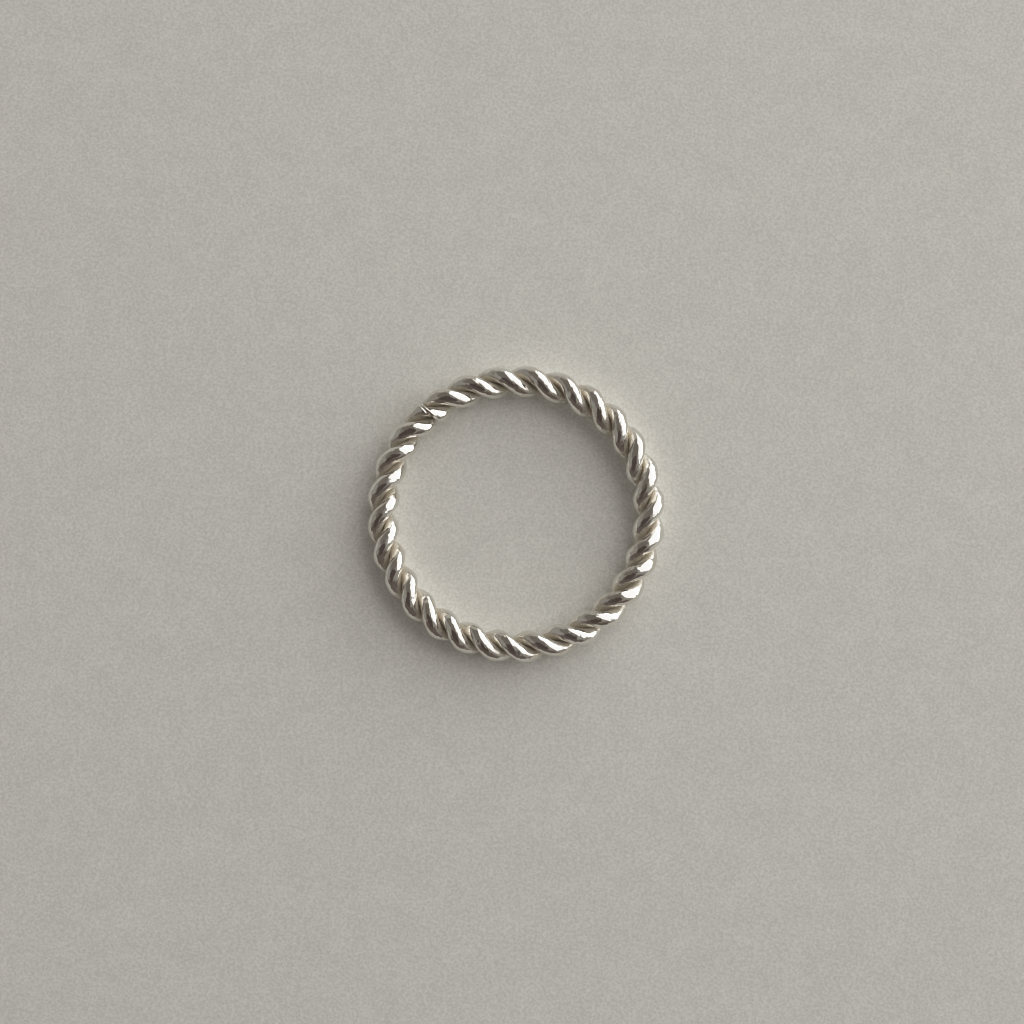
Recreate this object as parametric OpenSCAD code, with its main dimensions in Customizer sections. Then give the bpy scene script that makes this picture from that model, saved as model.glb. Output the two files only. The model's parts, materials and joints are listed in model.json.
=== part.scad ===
// Twist ring: two round wires, twisted together right-handed like a rope, bent to a ring and
// soldered end to end. It lies flat on z = 0, with the finger hole's axis on Z.
// Lengths are in millimetres. Round the ring, a place is a bearing in degrees, counter-clockwise
// from the +X axis as seen from above.

/* [Finger hole] */
// Diameter of the hole between the innermost points of the wires
finger_d = 16.9; // [14:0.1:22]

/* [Twisted wires] */
// Diameter of each of the two round wires
wire_d = 1.15; // [0.8:0.05:1.35]
// Length of rope in which each wire goes once round the other
lay_length = 4.39; // [3.5:0.01:7]
// Thickness of the metal between the bottoms of the two grooves
groove_web = 0.3; // [0.15:0.05:0.5]

/* [Solder seam] */
// Bearing of the seam between the two rope ends
seam_bearing = 130.5; // [0:0.5:359.5]
// Length of the seam along the rope
seam_l = 0.25; // [0.15:0.05:0.8]
// Length of rope, on each side of the seam, whose grooves the solder has run into
solder_run = 1; // [0.3:0.1:2]
// Thickness of the metal between the groove bottoms at the seam
solder_web = 0.75; // [0.5:0.05:0.85]
// Depth to which the outside of the seam is filed flat
file_depth = 0.22; // [0:0.02:0.4]
// Distance along the rope from the seam to the middle of the filed flat
file_shift = 0.65; // [0:0.05:1.5]

/* [Hidden] */

// Fineness of the mesh: corners of a wire's section, sections of the rope, and sections of its seam
wire_corners = 12;
rope_sections = 228;
seam_sections = 6;

// Turn of the two wires about the rope's middle at the start of the rope: 0 has the first wire on top,
// and 90 has it on the outside
first_turn = 38;

// How far the hand-made twist lags behind an even one, going once round from the seam.
// Columns: share of the way round, lag as a share of the lay length.
lay_lag = [
    [0.00, 0.000],
    [0.05, -0.024],
    [0.09, -0.033],
    [0.16, -0.043],
    [0.24, -0.114],
    [0.35, -0.165],
    [0.44, -0.169],
    [0.57, -0.184],
    [0.62, -0.207],
    [0.67, -0.203],
    [0.72, -0.177],
    [0.77, -0.192],
    [0.82, -0.189],
    [0.91, -0.107],
    [1.00, -0.090],
];

wire_r = wire_d / 2;
ring_r = finger_d / 2 + wire_d;
rope_middle_z = wire_d;
rope_l = 2 * PI * ring_r - seam_l;
lay_angle = atan(PI * wire_d / lay_length);
seam_arc = seam_l / ring_r * 180 / PI;
file_bearing = seam_bearing + file_shift / ring_r * 180 / PI;
filed_r = ring_r + wire_d - file_depth;

// A round wire laid at the lay angle, cut square across the rope, is wider than it is high and bows
// round the rope's middle. Its outline starts and ends at the web, which is `web` thick.
// Each corner is [distance from the rope's middle, turn from the wire's own turn].
function wire_outline(web) =
    let (start = asin(min(0.95, web / (wire_d * cos(lay_angle)))))
    [for (corner = [0 : wire_corners - 1])
        let (
            a = start + (360 - 2 * start) * corner / (wire_corners - 1),
            out = wire_r * (1 - cos(a)),
            side = wire_r * sin(a) * cos(lay_angle),
            bow = sin(a) * tan(lay_angle) * sin(lay_angle) * 180 / PI
        )
        [norm([out, side]), atan2(side, out) + bow]];

// Thickness of the web at a distance along the rope from the seam
function web_at(distance) =
    groove_web + (solder_web - groove_web) * max(0, 1 - distance / solder_run);

// Distance from the Z axis that the filed flat allows at a bearing
function filed_limit(bearing) =
    let (off = abs(bearing - file_bearing) % 360, near = min(off, 360 - off))
    near < 45 ? filed_r / cos(near) : ring_r + 2 * wire_d;

// Corners of both wires at one place: the bearing, the turn of the first wire, and the web's thickness
function section(bearing, turn, web) =
    [for (wire = [0, 1], corner = wire_outline(web))
        let (
            a = turn + 180 * wire + corner[1],
            r = min(ring_r + corner[0] * sin(a), filed_limit(bearing)),
            z = rope_middle_z + corner[0] * cos(a)
        )
        [r * cos(bearing), r * sin(bearing), z]];

// Turn of the first wire at a share of the way along the rope
function rope_turn(way) = first_turn + 360 * (rope_l * way / lay_length - lookup(way, lay_lag));

// At the seam the last turn slips to the nearest one in which the wires of both ends line up
half_turns = round((rope_turn(1) - rope_turn(0)) / 180);
slip = rope_turn(0) + 180 * half_turns - rope_turn(1);
crossed = abs(half_turns) % 2 == 1;

// Every section, from the start of the rope to its end and on through the seam
function all_sections() = concat(
    [for (i = [0 : rope_sections])
        let (way = i / rope_sections)
        section(
            seam_bearing + seam_arc / 2 + (360 - seam_arc) * way,
            rope_turn(way),
            web_at(rope_l * min(way, 1 - way) + seam_l / 2)
        )],
    [for (i = [1 : seam_sections - 1])
        let (way = i / seam_sections)
        section(
            seam_bearing - seam_arc / 2 + seam_arc * way,
            rope_turn(1) + slip * way,
            web_at(seam_l * abs(way - 0.5))
        )]
);

module twist_band() {
    sections = all_sections();
    count = len(sections);
    corners = 2 * wire_corners;
    // A section's own corner, and the same corner of the next section. The last one meets the first
    // with the wires changed over where an odd number of half turns lies between them.
    function own(s, c) = s * corners + c % corners;
    function next(s, c) = s < count - 1 ? own(s + 1, c) : (c + (crossed ? wire_corners : 0)) % corners;
    color("silver")
        polyhedron(
            points = [for (s = sections) each s],
            faces = [for (s = [0 : count - 1], c = [0 : corners - 1])
                each [
                    [own(s, c), own(s, c + 1), next(s, c + 1)],
                    [own(s, c), next(s, c + 1), next(s, c)]
                ]]
        );
}

twist_band();
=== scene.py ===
import json
import math
import bmesh
import bpy
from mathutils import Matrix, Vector


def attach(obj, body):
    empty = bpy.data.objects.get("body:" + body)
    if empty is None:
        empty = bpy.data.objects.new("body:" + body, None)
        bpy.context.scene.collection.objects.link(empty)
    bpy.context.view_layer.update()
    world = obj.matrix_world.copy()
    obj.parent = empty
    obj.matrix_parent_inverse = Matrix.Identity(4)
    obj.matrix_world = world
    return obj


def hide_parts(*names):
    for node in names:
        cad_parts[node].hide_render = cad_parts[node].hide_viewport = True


# A rope twist ring lying on pale paper: two round silver wires twisted together, bent round and
# soldered. The sizes are in metres, and bearings in degrees counter-clockwise from +X, seen from above.

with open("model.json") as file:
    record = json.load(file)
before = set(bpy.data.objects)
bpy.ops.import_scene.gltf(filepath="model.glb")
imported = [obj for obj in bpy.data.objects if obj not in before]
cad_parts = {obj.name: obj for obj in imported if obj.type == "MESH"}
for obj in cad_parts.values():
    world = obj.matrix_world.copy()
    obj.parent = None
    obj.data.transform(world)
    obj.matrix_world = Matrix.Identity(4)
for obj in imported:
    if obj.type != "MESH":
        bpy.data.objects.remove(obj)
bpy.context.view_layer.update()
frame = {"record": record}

mm = 0.001
hair = 0.01 * mm  # points nearer than this are at one place
holeMount = next(m for m in frame["record"]["mounts"] if m["name"] == "finger_hole")
holeRadius = holeMount["dims"]["r_mm"] * mm
ropeWidth = holeMount["dims"]["length_mm"] * mm
wireRadius = ropeWidth / 4
ringRadius = holeRadius + ropeWidth / 2  # to the rope's middle
ropeMiddle = ropeWidth / 2  # its height above the paper

scene = bpy.context.scene


# Picking and moving things, as by hand

def leaveAll():
    if bpy.context.object and bpy.context.object.mode != "OBJECT":
        bpy.ops.object.mode_set(mode="OBJECT")
    bpy.ops.object.select_all(action="DESELECT")


def takeUp(piece):
    leaveAll()
    piece.select_set(True)
    bpy.context.view_layer.objects.active = piece


def editShape(piece):
    takeUp(piece)
    bpy.ops.object.mode_set(mode="EDIT")
    bpy.ops.mesh.select_mode(type="VERT")
    bpy.ops.mesh.select_all(action="DESELECT")


def pickPoints(piece, wanted):
    bpy.ops.mesh.select_all(action="DESELECT")
    shape = bmesh.from_edit_mesh(piece.data)
    for point in shape.verts:
        point.select_set(wanted(point.co))
    shape.select_flush(True)
    bmesh.update_edit_mesh(piece.data)


def turnPicked(degrees, axis, middle=(0, 0, 0)):
    # with no window the operator turns the other way, so the angle is given with its sign changed
    bpy.ops.transform.rotate(value=-math.radians(degrees), orient_axis=axis, center_override=middle)


def moldPiece(piece, kind, **settings):
    takeUp(piece)
    bpy.ops.object.modifier_add(type=kind)
    modifier = piece.modifiers[-1]
    for name, value in settings.items():
        setattr(modifier, name, value)
    bpy.ops.object.modifier_apply(modifier=modifier.name)


# The rope: one section of both wires, drawn at the rope's start, twisted along a straight bar

rope = {
    "layLength": 4.39 * mm,  # one full turn of a wire round the other
    "firstTurn": 38,  # of the first wire at the rope's start: 0 is on top, 90 outside
    "wireCorners": 40,
    "webCorners": 1,  # corners left out each side of the line where the wires touch
    "cornerJoin": 0.2,  # corners nearer than this share of a wire's side become one
    "sections": 1300,
    "seamGap": 0.25 * mm,
    "seamSteps": 8,
    "seamBearing": 130.5,
    "finishApart": 5,  # millimetres between the wires' places in the finish, so that no two lines match
}
# how far the hand-made twist lags behind an even one, going once round from the seam
layLag = [
    {"way": 0.00, "lag": 0.000},
    {"way": 0.05, "lag": -0.024},
    {"way": 0.09, "lag": -0.033},
    {"way": 0.16, "lag": -0.043},
    {"way": 0.24, "lag": -0.114},
    {"way": 0.35, "lag": -0.165},
    {"way": 0.44, "lag": -0.169},
    {"way": 0.57, "lag": -0.184},
    {"way": 0.62, "lag": -0.207},
    {"way": 0.67, "lag": -0.203},
    {"way": 0.72, "lag": -0.177},
    {"way": 0.77, "lag": -0.192},
    {"way": 0.82, "lag": -0.189},
    {"way": 0.91, "lag": -0.107},
    {"way": 1.00, "lag": -0.090},
]
ropeLength = 2 * math.pi * ringRadius - rope["seamGap"]
layAngle = math.atan(2 * math.pi * wireRadius / rope["layLength"])


def drawSection():
    bpy.ops.mesh.primitive_circle_add(
        vertices=rope["wireCorners"], radius=wireRadius,
        location=(0, 0, wireRadius), rotation=(0, math.pi / 2, 0),
    )
    band = bpy.context.object
    band.name = "twistBand"
    takeUp(band)
    bpy.ops.object.transform_apply(location=True, rotation=True, scale=True)
    editShape(band)
    cornerAngle = 2 * math.pi / rope["wireCorners"]
    webTop = wireRadius * (1 - math.cos(cornerAngle * (rope["webCorners"] + 0.5)))
    pickPoints(band, lambda place: place.z < webTop)
    bpy.ops.mesh.delete(type="VERT")
    # cut square across the rope, a slanting wire is narrower here than it is high, and bows
    # round the rope's middle
    bow = math.degrees(math.tan(layAngle) * math.sin(layAngle))
    corners = [corner.co.copy() for corner in bmesh.from_edit_mesh(band.data).verts]
    bpy.ops.mesh.select_all(action="SELECT")
    bpy.ops.transform.resize(value=(1, math.cos(layAngle), 1), center_override=(0, 0, wireRadius))
    for number, corner in enumerate(corners):
        shape = bmesh.from_edit_mesh(band.data)
        for point in shape.verts:
            point.select_set(point.index == number)
        bmesh.update_edit_mesh(band.data)
        turnPicked(-bow * corner.y / wireRadius, "X")
    # the second wire is the first one half a turn on, and their outlines join where they nearly meet
    bpy.ops.mesh.select_all(action="SELECT")
    bpy.ops.mesh.duplicate()
    turnPicked(180, "X")
    bpy.ops.mesh.select_all(action="SELECT")
    bpy.ops.mesh.remove_doubles(threshold=cornerAngle * wireRadius * rope["cornerJoin"])
    markOutline(band)
    turnPicked(rope["firstTurn"], "X")
    leaveAll()
    return band


def markOutline(band):
    # the finish follows each wire, so every corner keeps its place round the wire, in millimetres
    shape = bmesh.from_edit_mesh(band.data)
    strand = shape.verts.layers.float_vector.new("strand")
    for point in shape.verts:
        wire = 1 if point.co.z > 0 else -1
        turned = math.atan2(point.co.y * wire, point.co.z * wire - wireRadius)
        point[strand] = Vector((turned * wireRadius / mm, 0, rope["finishApart"] * wire))
    bmesh.update_edit_mesh(band.data)


def markLength(band):
    # and its place along the bar
    places = [0.0] * (3 * len(band.data.vertices))
    band.data.vertices.foreach_get("co", places)
    strand = band.data.attributes["strand"].data
    for number, value in enumerate(strand):
        value.vector.y = places[3 * number] / mm


def twistBar(band):
    turns = ropeLength / rope["layLength"]
    moldPiece(
        band, "SCREW", axis="X", angle=2 * math.pi * turns, screw_offset=ropeLength,
        steps=rope["sections"], render_steps=rope["sections"], use_merge_vertices=False,
    )
    # between two rows of the table, the bar is twisted back by as much as the lag grows
    for here, there in zip(layLag, layLag[1:]):
        lagTurn = 360 * (there["lag"] - here["lag"])
        moldPiece(
            band, "SIMPLE_DEFORM", deform_method="TWIST", deform_axis="X",
            angle=-math.radians(lagTurn), limits=(here["way"], there["way"]),
        )
        # the modifier also turns all that lies before the stretch, which is taken back here
        turnBack = lagTurn * here["way"] / (there["way"] - here["way"])
        editShape(band)
        bpy.ops.mesh.select_all(action="SELECT")
        turnPicked(turnBack, "X")
    # the bar's end is drawn out over the seam, and turned on until both its wires meet the bar's start
    wholeTurn = 360 * (turns - layLag[-1]["lag"])
    slip = 180 * round(wholeTurn / 180) - wholeTurn
    pickPoints(band, lambda place: place.x > ropeLength - hair)
    for step in range(rope["seamSteps"]):
        bpy.ops.mesh.extrude_region()
        bpy.ops.transform.translate(value=(rope["seamGap"] / rope["seamSteps"], 0, 0))
        turnPicked(slip / rope["seamSteps"], "X")
    leaveAll()
    print("slip over the seam:", round(slip), "degrees")


def bendRound(band):
    # the bar's start comes to lie at the front of the ring, and its outer side is -Y there
    moldPiece(band, "SIMPLE_DEFORM", deform_method="BEND", deform_axis="Z", angle=2 * math.pi)
    editShape(band)
    bpy.ops.mesh.select_all(action="SELECT")
    bpy.ops.transform.translate(value=(0, -ringRadius, ropeMiddle))
    turnPicked(math.degrees(rope["seamGap"] / ringRadius / 2), "Z")
    leaveAll()


# The seam: the two rope ends joined, the grooves flooded with solder, and the outside filed

seam = {
    "solderRun": 1.0 * mm,  # along the rope, each way from the seam
    "solderRise": 0.65 * mm,  # from the rope's middle, at the seam
    "solderPasses": 8,
    "meltRun": 0.30 * mm,  # each way from the seam, the wires' cut ends are melted round
    "meltPasses": 5,
    "crevice": {"from": 0.10 * mm, "to": 0.24 * mm, "outside": 0.60 * mm, "depth": 0.10 * mm},
    "fileShift": 0.65 * mm,  # along the rope, from the seam to the middle of the flat
    "fileDepth": 0.22 * mm,
    "fileReach": 3 * mm,
}


def fromMiddle(place):
    return math.hypot(math.hypot(place.x, place.y) - ringRadius, place.z - ropeMiddle)


def alongFromSeam(place):
    # the seam is at the front, at -Y
    return math.atan2(place.x, -place.y) * ringRadius


def closeSeam(band):
    editShape(band)
    bpy.ops.mesh.select_all(action="SELECT")
    bpy.ops.mesh.remove_doubles(threshold=hair)
    bpy.ops.mesh.normals_make_consistent(inside=False)

    def inSolder(place):
        far = abs(alongFromSeam(place)) / seam["solderRun"]
        return far < 1 and fromMiddle(place) < seam["solderRise"] * (1 - far)

    pickPoints(band, inSolder)
    bpy.ops.mesh.vertices_smooth(factor=0.5, repeat=seam["solderPasses"])
    pickPoints(band, lambda place: abs(alongFromSeam(place)) < seam["meltRun"])
    bpy.ops.mesh.vertices_smooth(factor=0.5, repeat=seam["meltPasses"])
    # the solder has left a fine crevice beside the seam, on the humps of the wires
    crevice = seam["crevice"]

    def inCrevice(place):
        beside = crevice["from"] < alongFromSeam(place) < crevice["to"]
        return beside and place.z > ropeMiddle and fromMiddle(place) > crevice["outside"]

    pickPoints(band, inCrevice)
    bpy.ops.transform.shrink_fatten(value=-crevice["depth"])


def fileSeam(band):
    # the ring is turned so that the flat faces -Y, and all that stands past it is pressed to it
    shiftTurn = math.degrees(seam["fileShift"] / ringRadius)
    flat = ringRadius + ropeWidth / 2 - seam["fileDepth"]
    bpy.ops.mesh.select_all(action="SELECT")
    turnPicked(-shiftTurn, "Z")
    pickPoints(band, lambda place: place.y < -flat and abs(place.x) < seam["fileReach"])
    bpy.ops.transform.resize(value=(1, 0, 1), center_override=(0, -flat, 0))
    bpy.ops.mesh.select_all(action="SELECT")
    turnPicked(shiftTurn + 90 + rope["seamBearing"], "Z")
    leaveAll()


# the hammer and pliers left shallow waves all over the wires
handWaves = [
    {"size": 1.3 * mm, "depth": 0.075 * mm},
    {"size": 0.50 * mm, "depth": 0.046 * mm},
    {"size": 0.24 * mm, "depth": 0.016 * mm},
]


def dentWires(band):
    for number, wave in enumerate(handWaves):
        texture = bpy.data.textures.new(f"handWave{number}", "CLOUDS")
        texture.noise_scale = wave["size"]
        texture.noise_depth = 1
        moldPiece(
            band, "DISPLACE", texture=texture, texture_coords="LOCAL",
            strength=wave["depth"], mid_level=0.5,
        )


band = drawSection()
print("section drawn:", len(band.data.vertices), "corners")
twistBar(band)
markLength(band)
print("bar twisted:", len(band.data.polygons), "faces")
bendRound(band)
closeSeam(band)
fileSeam(band)
dentWires(band)
takeUp(band)
bpy.ops.object.shade_smooth()
print("band bent, soldered, filed and dented")


# Materials

def startMaterial(name):
    material = bpy.data.materials.new(name)
    material.use_nodes = True
    nodes = material.node_tree.nodes
    return material, nodes, material.node_tree.links, nodes["Principled BSDF"]


def addNode(nodes, kind, **settings):
    node = nodes.new(kind)
    for name, value in settings.items():
        if name in node.inputs:
            node.inputs[name].default_value = value
        else:
            setattr(node, name, value)
    return node


def startGroup(name, inputs, outputs):
    group = bpy.data.node_groups.new(name, "ShaderNodeTree")
    for socket, kind in inputs:
        group.interface.new_socket(socket, in_out="INPUT", socket_type=kind)
    for socket, kind in outputs:
        group.interface.new_socket(socket, in_out="OUTPUT", socket_type=kind)
    entry = group.nodes.new("NodeGroupInput")
    leave = group.nodes.new("NodeGroupOutput")
    return group, group.nodes, group.links, entry.outputs, leave.inputs


def placeGroup(nodes, group, **settings):
    node = nodes.new("ShaderNodeGroup")
    node.node_tree = group
    for name, value in settings.items():
        node.inputs[name].default_value = value
    return node


def calculate(nodes, links, operation, *values, clamp=False):
    node = nodes.new("ShaderNodeMath")
    node.operation = operation
    node.use_clamp = clamp
    for socket, value in zip(node.inputs, values):
        if isinstance(value, (int, float)):
            socket.default_value = value
        else:
            links.new(value, socket)
    return node.outputs[0]


def remap(nodes, links, source, fromLow, fromHigh, low=0, high=1):
    node = nodes.new("ShaderNodeMapRange")
    node.interpolation_type = "SMOOTHSTEP"
    for name, value in (("From Min", fromLow), ("From Max", fromHigh), ("To Min", low), ("To Max", high)):
        node.inputs[name].default_value = value
    links.new(source, node.inputs["Value"])
    return node.outputs["Result"]


def blendColour(nodes, links, factor, first, second):
    node = nodes.new("ShaderNodeMix")
    node.data_type = "RGBA"
    for name, value in (("Factor", factor), ("A", first), ("B", second)):
        if isinstance(value, (tuple, float, int)):
            node.inputs[name].default_value = value
        else:
            links.new(value, node.inputs[name])
    return node.outputs["Result"]


# Cloudy patches of any size, used for the silver's tarnish, warmth and wear, and for the paper's grain
def makePatches():
    group, nodes, links, given, result = startGroup(
        "patches",
        [("Place", "NodeSocketVector"), ("Size", "NodeSocketFloat"), ("Low", "NodeSocketFloat"),
         ("High", "NodeSocketFloat")],
        [("Mask", "NodeSocketFloat")],
    )
    fineness = calculate(nodes, links, "DIVIDE", 1, given["Size"])
    noise = addNode(nodes, "ShaderNodeTexNoise", Detail=4, Roughness=0.6)
    links.new(given["Place"], noise.inputs["Vector"])
    links.new(fineness, noise.inputs["Scale"])
    node = nodes.new("ShaderNodeMapRange")
    node.interpolation_type = "SMOOTHSTEP"
    links.new(noise.outputs["Fac"], node.inputs["Value"])
    links.new(given["Low"], node.inputs["From Min"])
    links.new(given["High"], node.inputs["From Max"])
    links.new(node.outputs["Result"], result["Mask"])
    return group


patches = makePatches()

silver = {
    "colour": (0.87, 0.855, 0.815, 1),
    "warmColour": (0.80, 0.765, 0.70, 1),
    "roughness": 0.08,
    "grooveColour": (0.62, 0.57, 0.485, 1),
    "grooveDeep": 0.50 * mm,  # from the rope's middle: all tarnished inside this
    "grooveEdge": 1.0 * mm,  # and all clean outside this
    "grooveRoughness": 0.42,
    "grooveMetal": 0.5,  # the rest is a dull skin of tarnish
    "blotches": {"Size": 0.7 * mm, "Low": 0.35, "High": 0.68},
    "blotchReach": 0.22 * mm,  # how far they move the edge of the tarnish
    "warmPatches": {"Size": 1.9 * mm, "Low": 0.38, "High": 0.64},
    "wornPatches": {"Size": 0.35 * mm, "Low": 0.40, "High": 0.70},
    "wornRoughness": 0.06,  # added where the silver is worn
    # drawing and twisting left lines along each wire, crowded across it and stretched along it
    "drawnLines": {"depth": 0.034 * mm, "perMillimetre": 2.2, "stretch": (1, 0.3, 1)},
    "dings": {"depth": 0.008 * mm, "size": 0.22 * mm},
}


def makeSilver():
    material, nodes, links, surface = startMaterial("polishedSilver")
    place = nodes.new("ShaderNodeTexCoord").outputs["Object"]
    strand = addNode(nodes, "ShaderNodeAttribute", attribute_name="strand").outputs["Vector"]
    apart = nodes.new("ShaderNodeSeparateXYZ")
    links.new(place, apart.inputs[0])

    # how far a point is from the rope's middle
    across = calculate(nodes, links, "SUBTRACT", calculate(
        nodes, links, "SQRT", calculate(
            nodes, links, "ADD",
            calculate(nodes, links, "MULTIPLY", apart.outputs["X"], apart.outputs["X"]),
            calculate(nodes, links, "MULTIPLY", apart.outputs["Y"], apart.outputs["Y"]),
        )), ringRadius)
    above = calculate(nodes, links, "SUBTRACT", apart.outputs["Z"], ropeMiddle)
    deep = calculate(nodes, links, "SQRT", calculate(
        nodes, links, "ADD",
        calculate(nodes, links, "MULTIPLY", across, across),
        calculate(nodes, links, "MULTIPLY", above, above),
    ))
    blotches = placeGroup(nodes, patches, **silver["blotches"])
    links.new(place, blotches.inputs["Place"])
    reach = silver["blotchReach"]
    uneven = calculate(
        nodes, links, "MULTIPLY_ADD", blotches.outputs["Mask"], -reach,
        calculate(nodes, links, "ADD", deep, reach / 2),
    )
    tarnish = remap(nodes, links, uneven, silver["grooveDeep"], silver["grooveEdge"], 1, 0)
    warmth = placeGroup(nodes, patches, **silver["warmPatches"])
    links.new(place, warmth.inputs["Place"])
    clean = blendColour(nodes, links, warmth.outputs["Mask"], silver["colour"], silver["warmColour"])
    links.new(blendColour(nodes, links, tarnish, clean, silver["grooveColour"]), surface.inputs["Base Color"])

    drawn = silver["drawnLines"]
    stretch = addNode(nodes, "ShaderNodeVectorMath", operation="MULTIPLY")
    stretch.inputs[1].default_value = drawn["stretch"]
    links.new(strand, stretch.inputs[0])
    lines = addNode(nodes, "ShaderNodeTexNoise", Scale=drawn["perMillimetre"], Detail=1, Roughness=0.5)
    links.new(stretch.outputs["Vector"], lines.inputs["Vector"])
    dings = addNode(nodes, "ShaderNodeTexNoise", Scale=1 / silver["dings"]["size"], Detail=2, Roughness=0.5)
    links.new(place, dings.inputs["Vector"])
    height = calculate(
        nodes, links, "ADD",
        calculate(nodes, links, "MULTIPLY", lines.outputs["Fac"], drawn["depth"]),
        calculate(nodes, links, "MULTIPLY", dings.outputs["Fac"], silver["dings"]["depth"]),
    )
    bump = addNode(nodes, "ShaderNodeBump", Strength=1.0, Distance=1.0)
    links.new(height, bump.inputs["Height"])
    links.new(bump.outputs["Normal"], surface.inputs["Normal"])

    wear = placeGroup(nodes, patches, **silver["wornPatches"])
    links.new(place, wear.inputs["Place"])
    dull = calculate(
        nodes, links, "MULTIPLY_ADD", wear.outputs["Mask"], silver["wornRoughness"], silver["roughness"])
    rough = calculate(
        nodes, links, "MULTIPLY_ADD", tarnish, silver["grooveRoughness"] - silver["roughness"], dull)
    links.new(rough, surface.inputs["Roughness"])
    metal = calculate(nodes, links, "MULTIPLY_ADD", tarnish, silver["grooveMetal"] - 1, 1)
    links.new(metal, surface.inputs["Metallic"])
    return material


band.data.materials.clear()
band.data.materials.append(makeSilver())
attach(band, "root")
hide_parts("twist_band")
print("silver laid on")


# Paper, light and camera

paper = {
    "side": 3,
    "colour": (0.855, 0.85, 0.81, 1),
    "darkFibre": (0.675, 0.67, 0.635, 1),
    "fibres": {"Size": 0.19 * mm, "Low": 0.25, "High": 0.75},
    "fibreDepth": 0.006 * mm,
    "clouds": {"Size": 2.2 * mm, "Low": 0.25, "High": 0.75},
    "cloudShare": 0.22,
    "grainTurn": (0.5, 0.8, 0.3),  # a noise cut level shows the grid that it is made on
    "roughness": 0.9,
    "gloss": 0.2,
}


def layPaper():
    leaveAll()
    bpy.ops.mesh.primitive_plane_add(size=paper["side"])
    sheet = bpy.context.object
    sheet.name = "paperFloor"
    material, nodes, links, surface = startMaterial("palePaper")
    turned = addNode(nodes, "ShaderNodeMapping", Rotation=paper["grainTurn"])
    links.new(nodes.new("ShaderNodeTexCoord").outputs["Object"], turned.inputs["Vector"])
    fibres = placeGroup(nodes, patches, **paper["fibres"])
    clouds = placeGroup(nodes, patches, **paper["clouds"])
    for group in (fibres, clouds):
        links.new(turned.outputs["Vector"], group.inputs["Place"])
    both = calculate(
        nodes, links, "MULTIPLY_ADD", clouds.outputs["Mask"], paper["cloudShare"], fibres.outputs["Mask"])
    colour = blendColour(nodes, links, both, paper["colour"], paper["darkFibre"])
    links.new(colour, surface.inputs["Base Color"])
    bump = addNode(nodes, "ShaderNodeBump", Strength=1.0, Distance=1.0)
    height = calculate(nodes, links, "MULTIPLY", fibres.outputs["Mask"], paper["fibreDepth"])
    links.new(height, bump.inputs["Height"])
    links.new(bump.outputs["Normal"], surface.inputs["Normal"])
    surface.inputs["Roughness"].default_value = paper["roughness"]
    surface.inputs["Specular IOR Level"].default_value = paper["gloss"]
    sheet.data.materials.append(material)


# two softboxes, one standing on the other, make one tall bright window in the silver
softboxes = {
    "distance": 0.5,
    "colour": (1, 0.99, 0.965),
    "parts": [
        {"name": "lowSoftbox", "bearing": 35, "width": 1.05, "bottom": 0.005, "top": 0.22, "radiance": 2.9},
        {"name": "highSoftbox", "bearing": 33, "width": 1.35, "bottom": 0.22, "top": 1.0, "radiance": 1.35},
    ],
}
fill = {"height": 0.9, "side": 1.3, "power": 0.8}  # from straight above, and not seen in the silver
# what the silver reflects besides the softboxes: a pale room, with lighter and darker places in it
room = {
    "colour": (0.275, 0.262, 0.238, 1),
    "lowWall": {
        "bearing": 263, "halfWidth": 51, "edge": 8, "top": 36,
        "topEdge": 0.06,  # as a sine, like the height of a direction
        "colour": (0.116, 0.095, 0.086, 1),
    },
    "rounds": [
        {"bearing": 100, "height": 10, "radius": 20, "edge": 9, "colour": (0.40, 0.38, 0.34, 1)},
        {"bearing": 122, "height": 56, "radius": 36, "edge": 5, "colour": (0.158, 0.142, 0.126, 1)},
        {"bearing": 248, "height": 61, "radius": 31, "edge": 4, "colour": (0.074, 0.058, 0.053, 1)},
    ],
}


def directionTo(bearing, height):
    b = math.radians(bearing)
    h = math.radians(height)
    return Vector((math.cos(b) * math.cos(h), math.sin(b) * math.cos(h), math.sin(h)))


def hangSoftboxes():
    for part in softboxes["parts"]:
        facing = directionTo(part["bearing"], 0)
        tall = part["top"] - part["bottom"]
        place = facing * softboxes["distance"]
        place.z = part["bottom"] + tall / 2
        bpy.ops.object.light_add(type="AREA", location=place)
        lamp = bpy.context.object
        lamp.name = part["name"]
        lamp.data.shape = "RECTANGLE"
        lamp.data.size = part["width"]
        lamp.data.size_y = tall
        lamp.data.energy = part["radiance"] * math.pi * part["width"] * tall
        lamp.data.color = softboxes["colour"]
        lamp.rotation_euler = facing.to_track_quat("Z", "Y").to_euler()


def hangFill():
    bpy.ops.object.light_add(type="AREA", location=(0, 0, fill["height"]))
    lamp = bpy.context.object
    lamp.name = "fill"
    lamp.data.size = fill["side"]
    lamp.data.energy = fill["power"]
    lamp.visible_glossy = False


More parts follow.
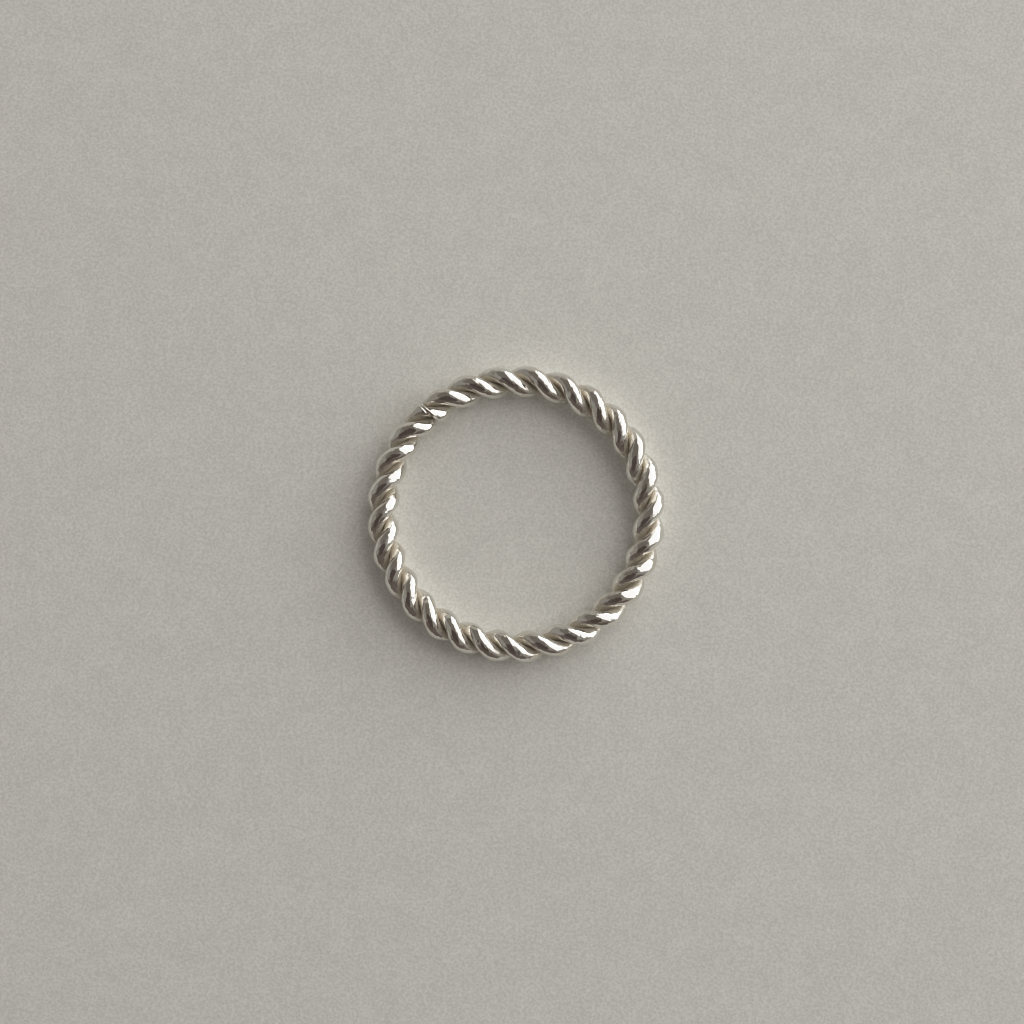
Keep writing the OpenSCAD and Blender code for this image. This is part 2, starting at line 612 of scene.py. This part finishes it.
def lightRoom():
    world = bpy.data.worlds.new("studio")
    scene.world = world
    world.use_nodes = True
    nodes, links = world.node_tree.nodes, world.node_tree.links
    background = nodes["Background"]
    place = nodes.new("ShaderNodeTexCoord").outputs["Generated"]

    def nearTo(direction, radius, edge, source):
        facing = addNode(nodes, "ShaderNodeVectorMath", operation="DOT_PRODUCT")
        facing.inputs[1].default_value = direction
        links.new(source, facing.inputs[0])
        outer = math.cos(math.radians(radius + edge))
        inner = math.cos(math.radians(radius - edge))
        return remap(nodes, links, facing.outputs["Value"], outer, inner)

    # on the low wall the bearing counts alone, so the direction is laid level first
    wall = room["lowWall"]
    level = addNode(nodes, "ShaderNodeVectorMath", operation="MULTIPLY")
    level.inputs[1].default_value = (1, 1, 0)
    links.new(place, level.inputs[0])
    unit = addNode(nodes, "ShaderNodeVectorMath", operation="NORMALIZE")
    links.new(level.outputs["Vector"], unit.inputs[0])
    side = nearTo(directionTo(wall["bearing"], 0), wall["halfWidth"], wall["edge"], unit.outputs["Vector"])
    apart = nodes.new("ShaderNodeSeparateXYZ")
    links.new(place, apart.inputs[0])
    wallTop = math.sin(math.radians(wall["top"]))
    low = remap(
        nodes, links, apart.outputs["Z"], wallTop - wall["topEdge"], wallTop + wall["topEdge"], 1, 0)
    onWall = calculate(nodes, links, "MULTIPLY", side, low)
    colour = blendColour(nodes, links, onWall, room["colour"], wall["colour"])
    for spot in room["rounds"]:
        inSpot = nearTo(directionTo(spot["bearing"], spot["height"]), spot["radius"], spot["edge"], place)
        colour = blendColour(nodes, links, inSpot, colour, spot["colour"])
    links.new(colour, background.inputs["Color"])


# the photo's frame is 1024 pixels wide, and the ring's middle is a little off its middle. The camera
# looks down from a little to the front.
shot = {
    "frame": 1024, "ringAcross": 298.3, "middleRight": 4.0, "middleDown": 1.5,
    "lens": 85, "sensor": 36, "lean": 4.8, "nearest": 0.002, "farthest": 20,
}


def setCamera():
    perPixel = 2 * (ringRadius + ropeWidth / 2) / shot["ringAcross"]
    distance = perPixel * shot["frame"] * shot["lens"] / shot["sensor"]
    lookBack = directionTo(-90, 90 - shot["lean"])
    upward = lookBack.cross(Vector((1, 0, 0)))
    place = Vector((0, 0, ropeMiddle)) + lookBack * distance
    place += Vector((-shot["middleRight"] * perPixel, 0, 0)) + upward * shot["middleDown"] * perPixel
    bpy.ops.object.camera_add(location=place, rotation=lookBack.to_track_quat("Z", "Y").to_euler())
    camera = bpy.context.object
    camera.data.sensor_width = shot["sensor"]
    camera.data.lens = shot["lens"]
    camera.data.clip_start = shot["nearest"]
    camera.data.clip_end = shot["farthest"]
    scene.camera = camera


# the brightest tones are rounded off as in a photograph, and the rest are left alone
tones = {
    "levels": [
        {"seen": 0.6, "shown": 0.6, "handle": "VECTOR"},
        {"seen": 1.2, "shown": 0.925, "handle": "AUTO_CLAMPED"},
    ],
    "brightest": {"seen": 2.5, "shown": 0.985},
}


def setTones():
    view = scene.view_settings
    view.view_transform = "Standard"
    view.use_curve_mapping = True
    mapping = view.curve_mapping
    brightest = tones["brightest"]
    mapping.white_level = (brightest["seen"],) * 3
    points = mapping.curves[3].points
    points[1].location = (1, brightest["shown"])
    points[0].handle_type = "VECTOR"
    for level in tones["levels"]:
        point = points.new(level["seen"] / brightest["seen"], level["shown"])
        point.handle_type = level["handle"]
    mapping.update()


layPaper()
print("paper laid")
hangSoftboxes()
hangFill()
lightRoom()
print("lights hung and room lit")
setCamera()
setTones()
print("camera and tones set")
scene.cycles.blur_glossy = 0  # so that the ring's light on the paper stays sharp
scene.cycles.filter_width = 1.0  # in pixels: the photo is crisp
